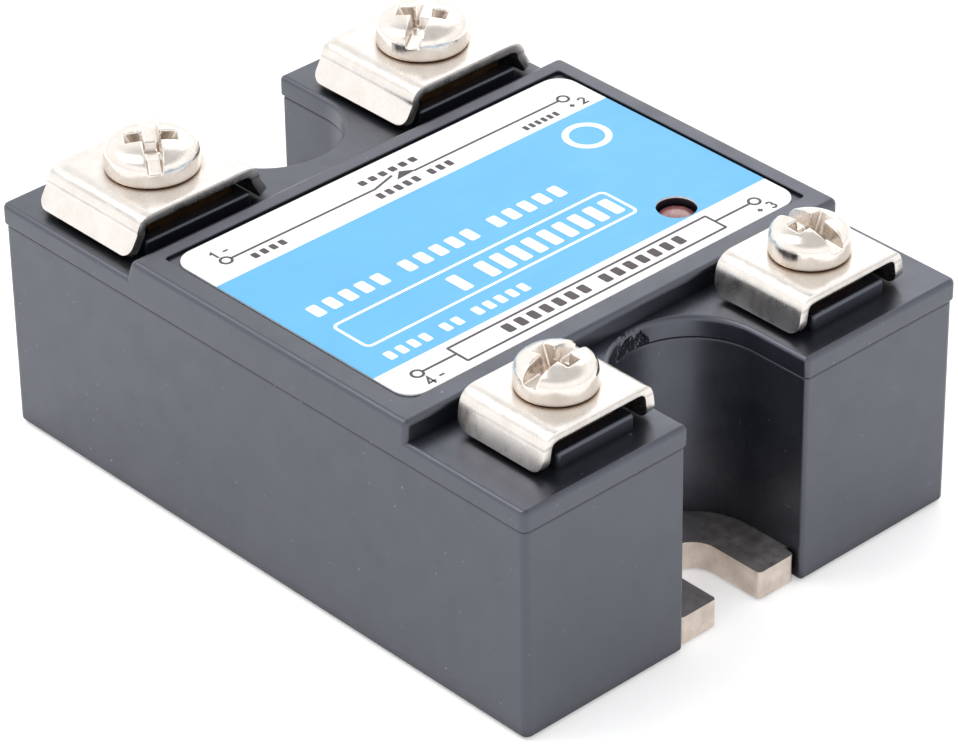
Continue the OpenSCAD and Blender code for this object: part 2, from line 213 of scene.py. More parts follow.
def case_plastic(name, base, light, rough, smear_at=None):
    """Black moulded plastic: faint mottling, dust, rubbed edges, painted shade in corners and a fine grain.

    A smear is a lumpy, glossy patch of spilt resin around one place in millimetres."""
    f = Finish(name, IOR=1.6, Specular_Tint=(0.80, 0.845, 1.0, 1.0))
    cloud = f.noise(9, 4)
    colour = f.mix(f.spread(cloud, 0.3, 0.7), linear(base), linear(light))
    dust = f.spread(f.noise(0.42, 2, 0.5), 0.735, 0.79)
    lint = f.spread(f.noise(1.5, 2, 0.5, (1, 0.35, 1)), 0.72, 0.80)
    colour = f.mix(f.math("MULTIPLY", dust, 0.5), colour, linear("#8e9098"))
    colour = f.mix(f.math("MULTIPLY", lint, 0.10), colour, linear("#7a7c84"))
    rubbed = f.math("MULTIPLY", f.spread(f.crevice(0.35, True), 0.75, 0.45), 0.3)
    colour = f.mix(rubbed, colour, linear("#363841"))
    # painted shade: the colour goes nearly black in corners and creases within half a millimetre
    crevice_shade_painted = f.math("MULTIPLY", f.spread(f.crevice(0.5), 0.8, 0.35), 0.8)
    colour = f.mix(crevice_shade_painted, colour, linear("#060608"))
    # painted shade on the reflections: the specular level drops near corners, and more deep in the notches
    gloss = f.spread(f.crevice(1.8), 0.3, 0.85, 0.25, 1.0)
    gloss = f.math("MULTIPLY", gloss, f.spread(f.crevice(7), 0.38, 0.62, 0.6, 1.0))
    roughness = f.spread(f.noise(2.5, 4), 0.3, 0.7, rough - 0.05, rough + 0.07)
    grain = f.bump(f.noise(0.16, 2, 0.6), 0.006)
    swell = f.bump(f.noise(6, 2), 0.05, 0.6, grain)
    if smear_at:
        place = tuple(c * MM for c in smear_at)
        gap = f.add("ShaderNodeVectorMath", {0: f.where, 1: place}, operation="DISTANCE")
        ragged = f.math("ADD", gap.outputs["Value"], f.math("MULTIPLY", f.noise(1.6, 2, 0.5), 2.4 * MM))
        smear = f.spread(ragged, 3.1 * MM, 2.5 * MM)
        along = f.add("ShaderNodeSeparateXYZ", {0: f.where}).outputs["X"]
        past_platform = f.spread(along, (PLATFORM_FRONT_X + 0.25) * MM, (PLATFORM_FRONT_X + 0.4) * MM)
        smear = f.math("MULTIPLY", smear, past_platform)
        lumps = f.noise(1.1, 2, 0.5)
        colour = f.mix(f.math("MULTIPLY", smear, 0.9), colour, linear("#020203"))
        glossy = f.math("MULTIPLY", smear, 0.2)
        roughness = f.math("SUBTRACT", roughness, glossy)
        swell = f.bump(f.math("MULTIPLY", smear, lumps), 0.45, 1.0, swell)
    return f.wire(
        Base_Color=colour, Roughness=roughness, Normal=swell, Specular_IOR_Level=gloss
    )


def nickel(name, base, tint, rough, bends=()):
    """Nickel plate over pressed steel: cloudy gloss, die marks, and painted shade with a warm painted reflection
    in corners.

    Along each bend, a height and a half width in millimetres, the sheet is streaked and duller."""
    f = Finish(name, Metallic=1.0)
    cloud = f.noise(1.6, 4, 0.6)
    colour = f.mix(f.spread(cloud, 0.35, 0.7), linear(base), linear(tint))
    stain = f.math("MULTIPLY", f.spread(f.noise(0.5, 3), 0.62, 0.75), 0.10)
    colour = f.mix(stain, colour, linear("#9a8f86"))
    # painted shade in corners and creases, tinted warm as a painted reflection between the nickel surfaces
    painted_corner_shade = f.math("MULTIPLY", f.spread(f.crevice(0.9), 0.8, 0.3), 0.75)
    colour = f.mix(painted_corner_shade, colour, linear("#9c8670"))
    smear = f.noise(0.9, 4, 0.6, (1, 1, 0.3))
    roughness = f.spread(smear, 0.3, 0.75, rough - 0.05, rough + 0.10)
    pits = f.bump(f.noise(0.12, 3, 0.7), 0.003)
    for bend_z, half_width in bends:
        height = f.add("ShaderNodeSeparateXYZ", {0: f.where}).outputs["Z"]
        away = f.math("ABSOLUTE", f.math("SUBTRACT", height, bend_z * MM), 0)
        streaks = f.spread(f.noise(0.35, 4, 0.7, (0.2, 1, 1)), 0.3, 0.7, 0.35, 1.0)
        dulled = f.math("MULTIPLY", f.spread(away, half_width * MM, 0), streaks)
        colour = f.mix(f.math("MULTIPLY", dulled, 0.6), colour, linear("#75706c"))
    if bends:
        pits = f.bump(f.noise(0.13, 3, 0.7, (1, 0.12, 0.12)), 0.004, 1.0, pits)
    dents = f.bump(f.noise(1.8, 2, 0.5), 0.02, 0.6, pits)
    return f.wire(Base_Color=colour, Roughness=roughness, Normal=dents)


def plated(name, base, tint, rough, grain_mm=0.25, depth_mm=0.02):
    """Any other metal: two tones, uneven gloss and a grain."""
    f = Finish(name, Metallic=1.0)
    colour = f.mix(f.spread(f.noise(2.2, 4), 0.35, 0.65), linear(base), linear(tint))
    roughness = f.spread(f.noise(0.8, 3), 0.3, 0.7, rough - 0.06, rough + 0.08)
    relief = f.bump(f.noise(grain_mm, 3, 0.65), depth_mm)
    return f.wire(Base_Color=colour, Roughness=roughness, Normal=relief)


def printed(name, base, tint, rough=0.32, grain_mm=0.5):
    """Ink or film on the label: nearly flat, with faint unevenness and scuffs."""
    f = Finish(name, IOR=1.46)
    colour = f.mix(f.spread(f.noise(5, 4), 0.3, 0.7), linear(base), linear(tint))
    scuff = f.spread(f.noise(0.6, 3, 0.6, (1, 0.15, 1)), 0.35, 0.7, rough - 0.04, rough + 0.08)
    relief = f.bump(f.noise(grain_mm, 2), 0.004)
    return f.wire(Base_Color=colour, Roughness=scuff, Normal=relief)


def dull(name, base, tint, rough, metallic=0.0):
    """Parts inside the case: two tones and a fine bump."""
    f = Finish(name, Metallic=metallic)
    colour = f.mix(f.spread(f.noise(1.2, 4), 0.35, 0.65), linear(base), linear(tint))
    roughness = f.spread(f.noise(0.6, 3), 0.3, 0.7, rough - 0.05, rough + 0.08)
    relief = f.bump(f.noise(0.2, 2), 0.01)
    return f.wire(Base_Color=colour, Roughness=roughness, Normal=relief)


def lens(name):
    """Dark red tinted epoxy with a glossy skin."""
    f = Finish(name, IOR=1.54, Coat_Weight=0.6, Coat_Roughness=0.08, Subsurface_Weight=0.2)
    f.shader.inputs["Subsurface Radius"].default_value = (0.0012, 0.0003, 0.0003)
    colour = f.mix(f.spread(f.noise(0.7, 2), 0.3, 0.7), linear("#7c4746"), linear("#996463"))
    return f.wire(
        Base_Color=colour,
        Roughness=f.spread(f.noise(0.3, 2), 0.3, 0.7, 0.18, 0.3),
        Normal=f.bump(f.noise(0.3, 2), 0.004),
    )


PLASTIC = case_plastic("housing_plastic", "#111217", "#15161b", 0.36)
SMEAR_AT = (17.9, -0.8, 18.3)
LID_PLASTIC = case_plastic("lid_plastic", "#111217", "#16171d", 0.33, SMEAR_AT)
# the height and the half width of each bend line in a clamp's shoulder
CLAMP_BENDS = ((22.95, 0.24), (22.2, 0.2))
CLAMP_NICKEL = nickel("clamp_nickel", "#e2ddd8", "#d8d2cc", 0.28, CLAMP_BENDS)
SCREW_NICKEL = nickel("screw_nickel", "#e4ded8", "#d8d0c8", 0.18)
PLATE_TOP = plated("plate_top", "#b8b3b2", "#9d9797", 0.5)
PLATE_EDGE = plated("plate_edge", "#ddd1c7", "#c3b6ab", 0.46, 0.35, 0.03)
# brass darkened below its own colour: painted shade for the dark gap under the clamps
PAINTED_SHADE_BRASS = plated("brass", "#5e4428", "#40301f", 0.38)
WHITE_FILM = printed("white_film", "#f4f4f5", "#ebecee")
BLUE_INK = printed("blue_ink", "#58aee0", "#55aadc")
DARK_INK = printed("dark_ink", "#3a3038", "#4a4048", 0.4)
WHITE_INK = printed("white_ink", "#f6fbfd", "#e6f3fa")
LENS = lens("red_lens")

INSIDE_FINISHES = {
    "tinned_wire": dull("tinned_wire", "#c9c9cc", "#a9a9ad", 0.35, 1.0),
    "resin": dull("resin", "#2a2a30", "#34343b", 0.3),
    "ceramic": dull("ceramic", "#ece9e2", "#dedad0", 0.5),
    "copper": dull("copper", "#c27a52", "#a8623e", 0.35, 1.0),
    "silicon": dull("silicon", "#5b6068", "#43474f", 0.15, 1.0),
    "aluminium_wire": dull("aluminium_wire", "#d0d2d5", "#b9bbbf", 0.3, 1.0),
    "terminal_brass": PAINTED_SHADE_BRASS,
    "nut_steel": dull("nut_steel", "#a9a59f", "#8c8882", 0.35, 1.0),
    "board_green": dull("board_green", "#1f6b43", "#175436", 0.45),
    "chip_black": dull("chip_black", "#1e1f22", "#292a2e", 0.5),
    "capacitor_tan": dull("capacitor_tan", "#a87a45", "#93683a", 0.5),
}


# ---------------------------------------------------------------- mesh making


def arc(centre, radius, start, end, steps):
    """Points on an arc between two angles in degrees, both ends included."""
    return [
        (
            centre[0] + radius * math.cos(math.radians(start + (end - start) * i / steps)),
            centre[1] + radius * math.sin(math.radians(start + (end - start) * i / steps)),
        )
        for i in range(steps + 1)
    ]


def notched_outline(half_x, half_y, notch_r, corner_r, lip_r):
    """The case's outline from above, anticlockwise, with a U notch in each end."""
    half = arc((half_x - corner_r, corner_r - half_y), corner_r, -90, 0, 5)
    half += arc((half_x - lip_r, -notch_r - lip_r), lip_r, 0, 90, 4)
    half += arc((NOTCH_X, 0), notch_r, -90, -270, 40)
    half += arc((half_x - lip_r, notch_r + lip_r), lip_r, -90, 0, 4)
    half += arc((half_x - corner_r, half_y - corner_r), corner_r, 0, 90, 5)
    return half + [(-x, -y) for x, y in half]


def round_rectangle(x, y, radius, steps=8):
    """A rectangle with round corners, anticlockwise."""
    return (
        arc((x[1] - radius, y[0] + radius), radius, -90, 0, steps)
        + arc((x[1] - radius, y[1] - radius), radius, 0, 90, steps)
        + arc((x[0] + radius, y[1] - radius), radius, 90, 180, steps)
        + arc((x[0] + radius, y[0] + radius), radius, 180, 270, steps)
    )


def ring_of(points, z):
    return [Vector((x, y, z)) for x, y in points]


def loft(bm, rings, closed=False):
    """Skin a run of rings; closed joins the last to the first, or else both ends are capped."""
    made = [[bm.verts.new(p) for p in ring] for ring in rings]
    pairs = list(zip(made, made[1:])) + ([(made[-1], made[0])] if closed else [])
    for low, high in pairs:
        for i in range(len(low)):
            j = (i + 1) % len(low)
            bm.faces.new((low[i], low[j], high[j], high[i]))
    if not closed:
        bm.faces.new(list(reversed(made[0])))
        bm.faces.new(made[-1])
    return bm


def block(low, high):
    """A box between two corners, as a mesh of its own."""
    plan = [(low[0], low[1]), (high[0], low[1]), (high[0], high[1]), (low[0], high[1])]
    return loft(bmesh.new(), [ring_of(plan, low[2]), ring_of(plan, high[2])])


def post(centre, radius, low_z, high_z, steps=48):
    """A round post."""
    plan = arc(centre, radius, 0, 360 - 360 / steps, steps - 1)
    return loft(bmesh.new(), [ring_of(plan, low_z), ring_of(plan, high_z)])


def soft_block(x, y, low_z, high_z, corner_r, edge_r, steps=4):
    """A block whose upright corners and top edges are round."""
    rings = [ring_of(round_rectangle(x, y, corner_r, 5), low_z)]
    for i in range(steps + 1):
        turn = math.radians(90 * i / steps)
        inset = edge_r * (1 - math.cos(turn))
        plan = round_rectangle(
            (x[0] + inset, x[1] - inset), (y[0] + inset, y[1] - inset), max(corner_r - inset, 0.05), 5
        )
        rings.append(ring_of(plan, high_z - edge_r + edge_r * math.sin(turn)))
    return loft(bmesh.new(), rings)


def to_object(bm, name):
    """A linked object from a bmesh in millimetres. The bmesh is freed."""
    mesh = bpy.data.meshes.new(name)
    bmesh.ops.transform(bm, matrix=Matrix.Scale(MM, 4), verts=bm.verts)
    bm.to_mesh(mesh)
    bm.free()
    made = bpy.data.objects.new(name, mesh)
    bpy.context.scene.collection.objects.link(made)
    return made


def bake_modifiers(obj):
    """Replace the object's mesh by its evaluated one, and drop the modifiers."""
    graph = bpy.context.evaluated_depsgraph_get()
    mesh = bpy.data.meshes.new_from_object(obj.evaluated_get(graph))
    obj.modifiers.clear()
    obj.data = mesh


def carve(obj, operation, *tools, solver="MANIFOLD"):
    """Apply one boolean with each tool, a bmesh, in turn."""
    for tool in tools:
        cutter = to_object(tool, "cutter")
        change = obj.modifiers.new("carve", "BOOLEAN")
        change.operation, change.object, change.solver = operation, cutter, solver
        bake_modifiers(obj)
        bpy.data.objects.remove(cutter)
    return obj


def shade(obj, angle=28):
    """Smooth shading between sharp edges, weighted by face area."""
    obj.data.shade_smooth()
    obj.data.set_sharp_from_angle(angle=math.radians(angle))
    weigh = obj.modifiers.new("weigh", "WEIGHTED_NORMAL")
    weigh.keep_sharp = True
    bake_modifiers(obj)
    return obj


def paint(obj, *materials):
    obj.data.materials.clear()
    for material in materials:
        obj.data.materials.append(material)
    return obj


def install(obj, body, slot_name, *nodes):
    """Put a finished piece on its CAD body, in place of its CAD nodes."""
    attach(obj, body)
    if nodes:
        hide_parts(*nodes)
    return obj


# ---------------------------------------------------------------- case


def quarter_rings(make, low_z, radius, up=True, steps=4):
    """Rings round a quarter-circle edge: make(inset) gives an outline."""
    rings = []
    for i in range(steps + 1):
        turn = math.radians(90 * i / steps)
        if up:
            inset, rise = radius * (1 - math.cos(turn)), radius * math.sin(turn)
        else:
            inset, rise = radius * (1 - math.sin(turn)), radius * (1 - math.cos(turn))
        rings.append(ring_of(make(inset), low_z + rise))
    return rings


def build_housing():
    corner_r, lip_r, foot_r, seam_r = 0.6, 0.35, 0.3, 0.3

    def outer(inset):
        return notched_outline(
            CASE_X - inset, CASE_Y - inset, NOTCH_R + inset,
            max(corner_r - inset, 0.05), max(lip_r - inset, 0.05),
        )

    inner = notched_outline(CAVITY_X, CAVITY_Y, CAVITY_NOTCH_R, 0.5, 0.3)
    rings = quarter_rings(outer, 0.0, foot_r, up=False)
    rings += quarter_rings(outer, SEAM_Z - seam_r, seam_r)
    rings += [ring_of(inner, SEAM_Z), ring_of(inner, 0.0)]
    obj = to_object(loft(bmesh.new(), rings, closed=True), "case_housing")
    gap, seat = 0.1, 0.02
    low = (-PLATE_X - gap, -PLATE_Y - gap, -CUTTER_RUN)
    high = (PLATE_X + gap, PLATE_Y + gap, PLATE_T + seat)
    carve(obj, "DIFFERENCE", block(low, high))
    paint(shade(obj), PLASTIC)
    return install(obj, "relay", "case_plastic", "housing")


def build_lid():
    corner_r, lip_r, edge_r, skirt_r = 0.6, 0.4, 0.42, 0.2

    def outer(inset, notch_share=1.0):
        return notched_outline(
            LID_X - inset, LID_Y - inset, LID_NOTCH_R + notch_share * inset,
            max(corner_r - inset, 0.05), max(lip_r - inset, 0.05),
        )

    # the seam gapes more in the notches
    deck = quarter_rings(lambda inset: outer(inset, 2.2), SEAM_Z, skirt_r, up=False)
    deck += quarter_rings(outer, DECK_Z - edge_r, edge_r)
    obj = to_object(loft(bmesh.new(), deck), "case_lid")

    # the middle platform, whose output wall leans back
    platform_r, steps = 0.5, 5
    low_z = DECK_Z - 0.8
    rings = []
    for z, inset in [(low_z, 0.0), (DECK_Z, 0.0)] + [
        (
            PLATFORM_Z - platform_r + platform_r * math.sin(math.radians(90 * i / steps)),
            platform_r * (1 - math.cos(math.radians(90 * i / steps))),
        )
        for i in range(steps + 1)
    ]:
        rise = min(max((z - DECK_Z) / (PLATFORM_Z - DECK_Z), 0.0), 1.0)
        back = PLATFORM_FOOT_X + rise * (PLATFORM_BACK_X - PLATFORM_FOOT_X)
        plan = round_rectangle(
            (back + inset, PLATFORM_FRONT_X - inset), (-LID_Y + inset, LID_Y - inset),
            max(0.55 - inset, 0.05), 4,
        )
        rings.append(ring_of(plan, z))
    carve(obj, "UNION", loft(bmesh.new(), rings))
    for t in TERMINALS:
        y = (t.y - t.tower_half, t.y + t.tower_half)
        carve(obj, "UNION", soft_block(t.tower_x, y, DECK_Z - 0.8, PEDESTAL_Z, 0.35, 0.3))

    # the hollow underneath, then the nut towers that hang in it
    wall_t = 1.5
    inner = notched_outline(CAVITY_X, CAVITY_Y, CAVITY_NOTCH_R, 0.5, 0.3)
    hollow = loft(bmesh.new(), [ring_of(inner, SEAM_Z - CUTTER_RUN), ring_of(inner, DECK_Z - wall_t)])
    upper = block(
        (PLATFORM_BACK_X + wall_t, -CAVITY_Y + 0.2, SEAM_Z - CUTTER_RUN),
        (PLATFORM_FRONT_X - wall_t, CAVITY_Y - 0.2, PLATFORM_Z - wall_t),
    )
    carve(obj, "DIFFERENCE", hollow, upper)
    tower_floor, lip_t, lip_depth, lip_half, gap = 14.2, 1.0, 1.6, 17.0, 0.1
    for t in TERMINALS:
        far = CAVITY_X - gap
        x = (max(t.tower_x[0], -far), min(t.tower_x[1], far))
        carve(obj, "UNION", block(
            (x[0] + 0.01, t.y - t.tower_half + 0.01, tower_floor),
            (x[1] - 0.01, t.y + t.tower_half - 0.01, DECK_Z - 0.3),
        ))
    for side in (-1, 1):
        outside = side * (CAVITY_Y - gap)
        low_y, high_y = sorted((outside, outside - side * lip_t))
        carve(obj, "UNION", block(
            (-lip_half, low_y, SEAM_Z - lip_depth), (lip_half - 2, high_y, SEAM_Z + 0.5)
        ))
    for t in TERMINALS:
        half = t.nut_w / 2 + gap / 2
        pocket_low = (t.x - half, t.y - half, PEDESTAL_Z - t.nut_t)
        carve(
            obj, "DIFFERENCE",
            block(pocket_low, (t.x + half, t.y + half, PEDESTAL_Z + CUTTER_RUN)),
            post((t.x, t.y), t.shank_r + 0.4, 15.0, PEDESTAL_Z - t.nut_t + 0.5),
            block(
                (t.leg_x[0], t.y - t.leg_half, tower_floor - 1),
                (t.leg_x[1], t.y + t.leg_half, PEDESTAL_Z + 1),
            ),
        )

    # the label's recess and the indicator's hole
    floor_z = label_low.z
    recess = [
        ring_of(round_rectangle(RECESS_X, RECESS_Y, RECESS_R), floor_z),
        ring_of(round_rectangle(RECESS_X, RECESS_Y, RECESS_R), PLATFORM_Z - 0.06),
        ring_of(
            round_rectangle(
                (RECESS_X[0] - 0.15, RECESS_X[1] + 0.15), (RECESS_Y[0] - 0.15, RECESS_Y[1] + 0.15),
                RECESS_R + 0.15,
            ),
            PLATFORM_Z + 0.09,
        ),
    ]
    led = (led_low + led_high) / 2
    led_hole = post((led.x, led.y), LED_HOLE_R, DECK_Z - 2, PLATFORM_Z + CUTTER_RUN)
    carve(obj, "DIFFERENCE", loft(bmesh.new(), recess), led_hole)
    paint(shade(obj), LID_PLASTIC)
    return install(obj, "relay", "lid_plastic", "top_cover")


def build_base_plate():
    """The plate's outline, with its two ears and the open slot, then bevelled."""
    ear_corner, slot_lip = 0.4, 0.35
    front = [(PLATE_X, -PLATE_Y), (PLATE_X, -EAR_HALF)]
    front += arc((EAR_X - ear_corner, -EAR_HALF + ear_corner), ear_corner, -90, 0, 4)
    front += arc((EAR_X - slot_lip, -FIXING_R - slot_lip), slot_lip, 0, 90, 4)
    front += arc((FIXING_X, 0), FIXING_R, -90, -270, 28)
    front += arc((EAR_X - slot_lip, FIXING_R + slot_lip), slot_lip, -90, 0, 4)
    front += arc((EAR_X - ear_corner, EAR_HALF - ear_corner), ear_corner, 0, 90, 4)
    front += [(PLATE_X, EAR_HALF), (PLATE_X, PLATE_Y)]
    rear = [(-PLATE_X, PLATE_Y), (-PLATE_X, EAR_HALF)]
    rear += arc((-EAR_X + ear_corner, EAR_HALF - ear_corner), ear_corner, 90, 180, 4)
    rear += arc((-EAR_X + ear_corner, -EAR_HALF + ear_corner), ear_corner, 180, 270, 4)
    rear += [(-PLATE_X, -EAR_HALF), (-PLATE_X, -PLATE_Y)]
    outline = front + rear
    obj = to_object(loft(bmesh.new(), [ring_of(outline, 0), ring_of(outline, PLATE_T)]), "metal_plate")
    carve(obj, "DIFFERENCE", post((-FIXING_X, 0), FIXING_R, -1, PLATE_T + 1))
    bevel = obj.modifiers.new("bevel", "BEVEL")
    bevel.width, bevel.segments, bevel.limit_method = 0.14 * MM, 2, "ANGLE"
    bevel.angle_limit = math.radians(50)
    bake_modifiers(obj)
    paint(shade(obj), PLATE_TOP, PLATE_EDGE)
    for face in obj.data.polygons:
        face.material_index = 1 if abs(face.normal.z) < 0.9 else 0
    return install(obj, "relay", "base_metal", "base_plate")


# ---------------------------------------------------------------- label and indicator


def slab(bm, outline, low_z, high_z):
    loft(bm, [ring_of(outline, low_z), ring_of(outline, high_z)])


def stroke(points, width, closed=False):
    """A mitred line of even width as one outline, or two for a closed line."""
    points = [Vector(p) for p in points]
    count = len(points)
    left, right = [], []
    for i, p in enumerate(points):
        before = points[(i - 1) % count] if closed or i else None
        after = points[(i + 1) % count] if closed or i < count - 1 else None
        way_in = (p - before).normalized() if before is not None else (after - p).normalized()
        way_out = (after - p).normalized() if after is not None else way_in
        normal_in, normal_out = Vector((-way_in.y, way_in.x)), Vector((-way_out.y, way_out.x))
        mitre = (normal_in + normal_out).normalized()
        reach = width / 2 / max(mitre.dot(normal_in), 0.35)
        left.append(p + mitre * reach)
        right.append(p - mitre * reach)
    return left, right


def ink_line(bm, points, width, low_z, high_z, closed=False):
    """A raised line: one closed solid."""
    left, right = stroke(points, width, closed)
    if not closed:
        slab(bm, right + left[::-1], low_z, high_z)
        return
    rings = [ring_of(right, low_z), ring_of(right, high_z), ring_of(left, high_z), ring_of(left, low_z)]
    area = sum(a[0] * b[1] - b[0] * a[1] for a, b in zip(points, points[1:]))
    loft(bm, rings if area > 0 else [r[::-1] for r in rings], closed=True)


def along_label(centre, size, strokes):
    """Glyph strokes, reading along +Y with their top towards -X, at a place on the label."""
    return [[(centre[0] - v * size, centre[1] + u * size) for u, v in line] for line in strokes]


GLYPHS = {
    "1": [[(-0.22, 0.28), (0.04, 0.5), (0.04, -0.5)]],
    "2": [
        arc((0, 0.22), 0.27, 165, -20, 8) + [(-0.28, -0.45), (0.32, -0.45)],
    ],
    "3": [
        arc((0, 0.24), 0.24, 150, -80, 8),
        arc((0, -0.22), 0.28, 75, -155, 9),
    ],
    "4": [[(0.34, -0.2), (-0.32, -0.2), (0.12, 0.5), (0.12, -0.5)]],
    "+": [[(-0.3, 0), (0.3, 0)], [(0, -0.3), (0, 0.3)]],
    "-": [[(-0.3, 0), (0.3, 0)]],
}


LINE_W = 0.22
# rows of plain blocks where the words are: baseline x, first y, block height, pitch, blocks in each
# word, and the colour
BLOCK_ROWS = [
    (2.05, -17.1, 1.6, 1.57, (5, 5, 5), "white"),
    (6.85, -6.95, 2.3, 1.6, (1, 9), "white"),
    (10.0, -17.1, 1.1, 1.15, (4, 2, 5), "white"),
    (13.28, -8.5, 1.15, 1.27, (7, 7), "dark"),
    (-9.6, -2.4, 0.68, 1.03, (6,), "dark"),
    (-7.2, -2.6, 0.8, 0.91, (5, 3), "dark"),
    (-7.35, -15.05, 0.74, 0.89, (4,), "dark"),
    (-6.98, 12.4, 0.66, 0.64, (6,), "dark"),
]
BLOCK_SHARE = 0.6


def build_label():
    """The film, in three bands of colour, and its print as thin raised solids."""
    outline = round_rectangle(
        (label_low.x, label_high.x), (label_low.y, label_high.y), 1.8, 12
    )
    led = (led_low + led_high) / 2
    bm = bmesh.new()
    bevel = 0.03
    inner = round_rectangle(
        (label_low.x + bevel, label_high.x - bevel), (label_low.y + bevel, label_high.y - bevel),
        1.8 - bevel, 12,
    )
    loft(bm, [
        ring_of(outline, label_low.z),
        ring_of(outline, label_high.z - bevel),
        ring_of(inner, label_high.z),
    ])
    film = to_object(bm, "label_film")
    led_hole = post((led.x, led.y), LED_HOLE_R, label_low.z - CUTTER_RUN, label_high.z + CUTTER_RUN)
    carve(film, "DIFFERENCE", led_hole)
    blue_x = (-6.4, 10.9)
    bm = bmesh.new()
    bm.from_mesh(film.data)
    for x in blue_x:
        bmesh.ops.bisect_plane(
            bm, geom=bm.verts[:] + bm.edges[:] + bm.faces[:], plane_co=(x * MM, 0, 0), plane_no=(1, 0, 0)
        )
    bm.to_mesh(film.data)
    bm.free()
    paint(film, WHITE_FILM, BLUE_INK)
    for face in film.data.polygons:
        inside = blue_x[0] * MM < face.center.x < blue_x[1] * MM
        face.material_index = 1 if inside and face.normal.z > 0.5 else 0
    install(film, "relay", "label_film", "label_sheet")

    ink_low, ink_high = label_high.z - 0.01, label_high.z + 0.012
    dark, white = bmesh.new(), bmesh.new()

    def line(bm, points, width=LINE_W, closed=False, lift=0.0):
        ink_line(bm, points, width, ink_low, ink_high + lift, closed)

    ring_r = 0.46
    circles = {"1": (-8.7, -16.8), "2": (-8.6, 17.8), "3": (12.7, 17.4), "4": (12.6, -17.0)}
    for centre in circles.values():
        line(dark, arc(centre, ring_r, 0, 345, 23), LINE_W, closed=True)
    edge = ring_r + LINE_W / 2 - 0.02
    # the output line, with the switch symbol in it
    line(dark, [(-8.7, -16.8 + edge), (-8.62, -2.0), (-9.25, 0.3)])
    line(dark, [(-8.62, 2.0), (-8.6, 17.8 - edge)])
    slab(dark, [(-8.5, 0.2), (-8.6, 2.3), (-9.35, 1.1)], ink_low, ink_high + 0.001)
    box_x, box_y = (11.65, 13.85), (-13.2, 13.2)
    line(dark, round_rectangle(box_x, box_y, 0.05, 1), LINE_W, closed=True)
    line(dark, [(12.62, -17.0 + edge), (12.64, box_y[0] - LINE_W / 2)])
    line(dark, [(12.68, box_y[1] + LINE_W / 2), (12.7, 17.4 - edge)])
    marks = [
        ("1", (-9.8, -17.0), 0.9), ("-", (-9.8, -15.95), 0.8),
        ("2", (-7.35, 18.75), 0.9), ("+", (-7.35, 17.6), 0.75),
        ("3", (13.95, 17.95), 0.9), ("+", (13.92, 16.8), 0.75),
        ("4", (13.9, -16.9), 1.0), ("-", (13.9, -15.8), 0.8),
    ]
    for glyph, centre, size in marks:
        for k, points in enumerate(along_label(centre, size, GLYPHS[glyph])):
            line(dark, points, 0.19, lift=0.001 * k)

    line(white, round_rectangle((3.65, 7.55), (-17.2, 10.15), 0.5, 4), 0.26, closed=True)
    line(white, arc((-3.2, 15.2), 1.7, 0, 350, 35), 0.55, closed=True)
    for x, y, height, pitch, words, colour in BLOCK_ROWS:
        at = y
        for blocks in words:
            for _ in range(blocks):
                length = BLOCK_SHARE * pitch
                plan = round_rectangle((x - height, x), (at, at + length), 0.2 * length, 3)
                slab(white if colour == "white" else dark, plan, ink_low, ink_high)
                at += pitch
            at += 0.75 * pitch
    prints = ((dark, "label_print_dark", DARK_INK), (white, "label_print_white", WHITE_INK))
    for bm, name, material in prints:
        bmesh.ops.recalc_face_normals(bm, faces=bm.faces)
        obj = paint(to_object(bm, name), material)
        install(obj, "relay", "label_film")


def build_indicator():
    centre = (led_low + led_high) / 2
    dome, flange_t = 0.42, 0.8
    r, flange_r = 1.5, (led_high.x - led_low.x) / 2
    flange_z = led_low.z + flange_t
    profile = [(flange_r, led_low.z), (flange_r, flange_z), (r, flange_z), (r, led_high.z - dome)]
    profile += [
        (r * math.cos(math.radians(a)), led_high.z - dome + dome * math.sin(math.radians(a)))
        for a in range(10, 81, 10)
    ]
    rings = [ring_of(arc((centre.x, centre.y), radius, 0, 352.5, 47), z) for radius, z in profile]
    obj = paint(shade(to_object(loft(bmesh.new(), rings), "indicator_lens"), 40), LENS)
    return install(obj, "relay", "led_red", "indicator_led")


# ---------------------------------------------------------------- terminals

# how far past the flat top, and how far below it, the sheet's middle runs down to the crease
SHOULDER = [(0, 0), (0.45, 0.09), (0.85, 0.35), (1.06, 0.8), (1.12, 1.12)]
CLAMP_T = 0.78
FLANGE_GAP = 0.33
HOLE_PLAY = 0.25


def smooth_line(points, steps):
    """A Catmull-Rom curve through the points."""
    pts = [Vector(p) for p in points]
    pts = [2 * pts[0] - pts[1]] + pts + [2 * pts[-1] - pts[-2]]
    line = []
    for a, b, c, d in zip(pts, pts[1:], pts[2:], pts[3:]):
        for i in range(steps):
            t = i / steps
            square = (2 * a - 5 * b + 4 * c - d) * t * t
            cube = (3 * b - a - 3 * c + d) * t**3
            line.append(0.5 * (2 * b + (c - a) * t + square + cube))
    return line + [pts[-2]]


def resampled(line, stations):
    """Points at the given distances along a line of points."""
    runs = [(b - a).length for a, b in zip(line, line[1:])]
    found = []
    for station in stations:
        i, past = 0, station
        while i < len(runs) - 1 and past > runs[i]:
            past -= runs[i]
            i += 1
        found.append(line[i].lerp(line[i + 1], min(past / runs[i], 1.0)))
    return found


